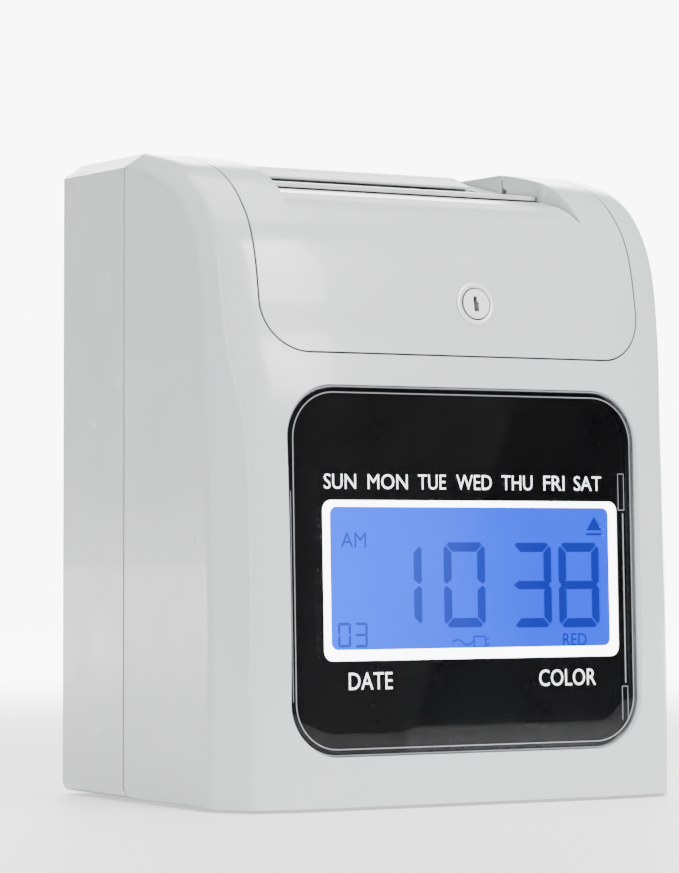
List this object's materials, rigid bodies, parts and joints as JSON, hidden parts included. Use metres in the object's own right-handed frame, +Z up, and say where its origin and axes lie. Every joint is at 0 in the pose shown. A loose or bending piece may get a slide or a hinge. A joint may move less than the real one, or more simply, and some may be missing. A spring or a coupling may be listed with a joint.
{
  "type": "punch time clock",
  "caption": "Upright punch time clock with a backlit display window, a lockable hinged top cover and a time-card throat across the roof.",
  "frame": {"origin": "centre of the footprint on the resting plane, under the feet", "axes": "+Z up, the display faces -Y, +X to the right seen from the front"},
  "size_m": [0.1778, 0.1142, 0.2083],
  "materials": {
    "case": "gloss moulded",
    "steel": "ground",
    "lock_metal": "polished",
    "bracket": "zinc plated sheet",
    "lens": "clear moulded",
    "mask": "black print",
    "lcd_frame": "satin",
    "lcd": "backlit",
    "light": "diffuser",
    "board": "solder mask",
    "chips": "satin",
    "cells": "sleeve",
    "panel": "satin",
    "key_grey": "satin",
    "key_red": "satin",
    "rubber": "matt",
    "carriage": "satin",
    "head": "cast",
    "motor": "satin",
    "pulley": "satin",
    "brass": "satin",
    "knob": "satin",
    "ribbon": "woven"
  },
  "bodies": {
    "case": {"front_shell": "case", "rear_shell": "case", "hinge_pins": "steel", "lock_keeper": "bracket", "display_lens": "lens", "display_mask": "mask", "lcd_frame": "lcd_frame", "lcd_panel": "lcd", "backlight": "light", "main_board": "board", "board_components": "chips", "power_board": "board", "dc_jack": "chips", "battery_pack": "cells", "key_panel": "panel", "key_board": "board", "tact_switches": "chips", "left_frame": "bracket", "right_frame": "bracket", "cross_plate": "bracket", "card_guide_front": "panel", "card_guide_rear": "panel", "platen": "rubber", "carriage_rails": "steel", "carriage_belt": "rubber", "carriage_motor": "motor", "idler_pin": "steel", "feed_motor": "motor", "shaft_bushings": "brass", "sensor_pin": "steel", "ribbon_cartridge": "carriage", "shift_solenoid": "motor", "rubber_feet": "rubber", "case_screws": "steel"},
    "cover": {"top_cover": "case", "lock_barrel": "lock_metal", "lock_nut": "lock_metal"},
    "lock": {"lock_plug": "lock_metal", "lock_cam": "lock_metal"},
    "carriage": {"print_carriage": "carriage", "print_head": "head"},
    "belt_drive": {"drive_pulley": "pulley", "carriage_motor_shaft": "steel"},
    "idler": {"idler_pulley": "pulley"},
    "feed": {"feed_shaft": "steel", "feed_rollers": "rubber", "feed_gear": "pulley"},
    "feed_drive": {"feed_motor_shaft": "steel", "feed_pinion": "brass"},
    "pinch": {"pinch_shaft": "steel", "pinch_rollers": "rubber"},
    "sensor": {"sensor_lever": "pulley"},
    "ribbon_drive": {"ribbon_knob": "knob", "ribbon_spindle": "steel"},
    "ribbon_shift": {"shift_plunger": "steel", "ribbon_guide": "bracket", "ink_ribbon": "ribbon"},
    "select": {"select_key": "key_grey"},
    "change": {"change_key": "key_grey"},
    "set": {"set_key": "key_red"}
  },
  "joints": [
    {"name": "cover_hinge", "type": "hinge", "parent": "case", "child": "cover", "pos_m": [0, 0.0088, 0.2055], "axis": [-1, 0, 0], "range_deg": [0, 75]},
    {"name": "lock_turn", "type": "hinge", "parent": "cover", "child": "lock", "pos_m": [0.0075, -0.0469, 0.1594], "axis": [0, -0.9877, 0.1564], "range_deg": [0, 90]},
    {"name": "carriage_slide", "type": "slide", "parent": "case", "child": "carriage", "axis": [1, 0, 0], "range_m": [-0.03, 0.03]},
    {"name": "drive_pulley_turn", "type": "hinge", "parent": "case", "child": "belt_drive", "pos_m": [0.052, -0.011, 0.14], "axis": [0, 1, 0], "range_deg": [-360, 360]},
    {"name": "idler_pulley_turn", "type": "hinge", "parent": "case", "child": "idler", "pos_m": [-0.052, -0.011, 0.14], "axis": [0, 1, 0], "range_deg": [-360, 360]},
    {"name": "feed_turn", "type": "hinge", "parent": "case", "child": "feed", "pos_m": [0, 0.0074, 0.12], "axis": [1, 0, 0], "continuous": true},
    {"name": "feed_motor_turn", "type": "hinge", "parent": "case", "child": "feed_drive", "pos_m": [0.06, -0.00109, 0.11152], "axis": [1, 0, 0], "continuous": true},
    {"name": "pinch_turn", "type": "hinge", "parent": "case", "child": "pinch", "pos_m": [0, 0.0193, 0.12], "axis": [1, 0, 0], "continuous": true},
    {"name": "sensor_tilt", "type": "hinge", "parent": "case", "child": "sensor", "pos_m": [0, 0.0225, 0.101], "axis": [1, 0, 0], "range_deg": [0, 50], "stiffness_Nm_per_rad": 0.0005, "springref_deg": -5.73},
    {"name": "ribbon_turn", "type": "hinge", "parent": "case", "child": "ribbon_drive", "pos_m": [-0.044, -0.023, 0.16], "axis": [0, 0, 1], "continuous": true},
    {"name": "ribbon_lift", "type": "slide", "parent": "case", "child": "ribbon_shift", "axis": [0, 0, 1], "range_m": [0, 0.003], "stiffness_N_per_m": 200, "springref_m": -0.002},
    {"name": "select_press", "type": "slide", "parent": "case", "child": "select", "axis": [0, 1, 0], "range_m": [0, 0.001], "stiffness_N_per_m": 250, "springref_m": -0.0005},
    {"name": "change_press", "type": "slide", "parent": "case", "child": "change", "axis": [0, 1, 0], "range_m": [0, 0.001], "stiffness_N_per_m": 250, "springref_m": -0.0005},
    {"name": "set_press", "type": "slide", "parent": "case", "child": "set", "axis": [0, 1, 0], "range_m": [0, 0.001], "stiffness_N_per_m": 250, "springref_m": -0.0005}
  ],
  "couplings": [
    {"joint": "drive_pulley_turn", "follows": "carriage_slide", "rad_per_m": 155.04},
    {"joint": "idler_pulley_turn", "follows": "carriage_slide", "rad_per_m": 155.04},
    {"joint": "feed_motor_turn", "follows": "feed_turn", "ratio": -2},
    {"joint": "pinch_turn", "follows": "feed_turn", "ratio": -1.3}
  ]
}
